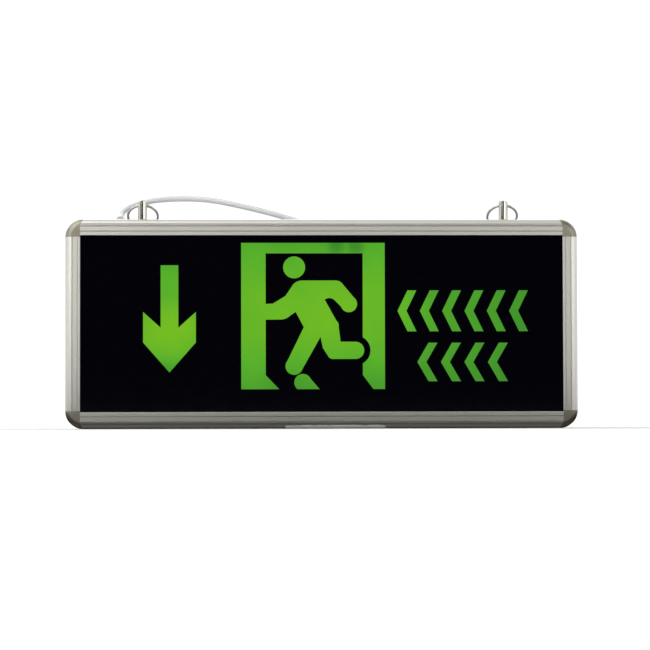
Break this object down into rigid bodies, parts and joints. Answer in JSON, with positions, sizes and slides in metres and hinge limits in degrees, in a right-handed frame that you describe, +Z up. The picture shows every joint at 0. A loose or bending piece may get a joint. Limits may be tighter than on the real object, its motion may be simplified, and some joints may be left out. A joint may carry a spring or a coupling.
{
  "type": "emergency exit light",
  "caption": "Slim hanging emergency exit light: aluminium frame, back-lit panel with a running figure, doorway, arrow and chevrons, hanging rings and a supply lead.",
  "frame": {"origin": "centre of the flat underside of the frame", "axes": "+X to the reader's right along the sign, +Z up, the printed face looks along -Y"},
  "size_m": [0.355, 0.0847, 0.1657],
  "materials": {
    "rail_aluminium": "satin anodised extrusion",
    "cap_metal": "satin pewter plating",
    "hanger_metal": "bright nickel plating",
    "screw_metal": "zinc plated",
    "print_black": "gloss black print",
    "print_green": "back-lit translucent green print",
    "panel_acrylic": "translucent acrylic sheet",
    "diffuser_white": "milk white",
    "back_paint": "fine textured white paint on aluminium sheet",
    "tray_white": "bright white",
    "board_green": "solder mask",
    "led_yellow": "phosphor",
    "component_black": "moulded",
    "transformer_tape": "yellow tape and lamination",
    "capacitor_sleeve": "shrunk sleeve",
    "terminal_white": "nylon",
    "battery_sleeve": "shrunk sleeve",
    "holder_black": "moulded",
    "plate_grey": "light grey moulding",
    "button_red": "moulded",
    "lamp_green": "tinted lamp body",
    "lamp_red": "tinted lamp body",
    "lamp_amber": "tinted lamp body",
    "grommet_pale": "soft pale rubber",
    "cord_sheath": "smooth pale grey sheath",
    "core_brown": "insulation",
    "core_blue": "insulation",
    "lead_red": "insulation",
    "ferrule_metal": "tinned",
    "tie_white": "nylon band"
  },
  "bodies": {
    "sign_body": {"top_rail": "rail_aluminium", "bottom_rail": "rail_aluminium", "left_rail": "rail_aluminium", "right_rail": "rail_aluminium", "top_left_corner_cap": "cap_metal", "top_right_corner_cap": "cap_metal", "bottom_left_corner_cap": "cap_metal", "bottom_right_corner_cap": "cap_metal", "corner_cap_screws": "screw_metal", "led_board_screws": "screw_metal", "board_screws": "screw_metal", "terminal_screws": "screw_metal", "hanger_nuts": "screw_metal", "hanger_washers": "screw_metal", "left_hanger_post": "hanger_metal", "right_hanger_post": "hanger_metal", "panel_black_field": "print_black", "panel_arrow": "print_green", "panel_doorway": "print_green", "panel_running_figure": "print_green", "panel_upper_chevrons": "print_green", "panel_lower_chevrons": "print_green", "front_panel": "panel_acrylic", "diffuser_sheet": "diffuser_white", "back_plate": "back_paint", "reflector_tray": "tray_white", "upper_led_board": "board_green", "lower_led_board": "board_green", "driver_board": "board_green", "indicator_board": "board_green", "upper_leds": "led_yellow", "lower_leds": "led_yellow", "control_chips": "component_black", "test_switch": "component_black", "transformer": "transformer_tape", "filter_capacitors": "capacitor_sleeve", "terminal_block": "terminal_white", "board_standoffs": "terminal_white", "battery_pack": "battery_sleeve", "battery_cradle": "holder_black", "indicator_plate": "plate_grey", "mains_lamp": "lamp_green", "charge_lamp": "lamp_red", "fault_lamp": "lamp_amber", "cable_grommet": "grommet_pale", "supply_cord": "cord_sheath", "cord_coil": "cord_sheath", "cord_end": "cord_sheath", "mains_lead": "cord_sheath", "brown_core": "core_brown", "blue_core": "core_blue", "battery_lead": "lead_red", "led_lead": "lead_red", "core_ferrules": "ferrule_metal", "cord_tie": "tie_white"},
    "left_ring": {"left_hanger_ring": "hanger_metal"},
    "right_ring": {"right_hanger_ring": "hanger_metal"},
    "test_button": {"test_button": "button_red", "switch_plunger": "holder_black"}
  },
  "joints": [
    {"name": "left_ring_swing", "type": "hinge", "parent": "sign_body", "child": "left_ring", "pos_m": [-0.1245, 0, 0.1555], "axis": [1, 0, 0], "range_deg": [0, 265.75]},
    {"name": "right_ring_swing", "type": "hinge", "parent": "sign_body", "child": "right_ring", "pos_m": [0.127, 0, 0.1555], "axis": [1, 0, 0], "range_deg": [0, 265.75]},
    {"name": "test_button_press", "type": "slide", "parent": "sign_body", "child": "test_button", "axis": [0, 0, 1], "range_m": [0, 0.0005], "stiffness_N_per_m": 800, "springref_m": -0.0005}
  ]
}
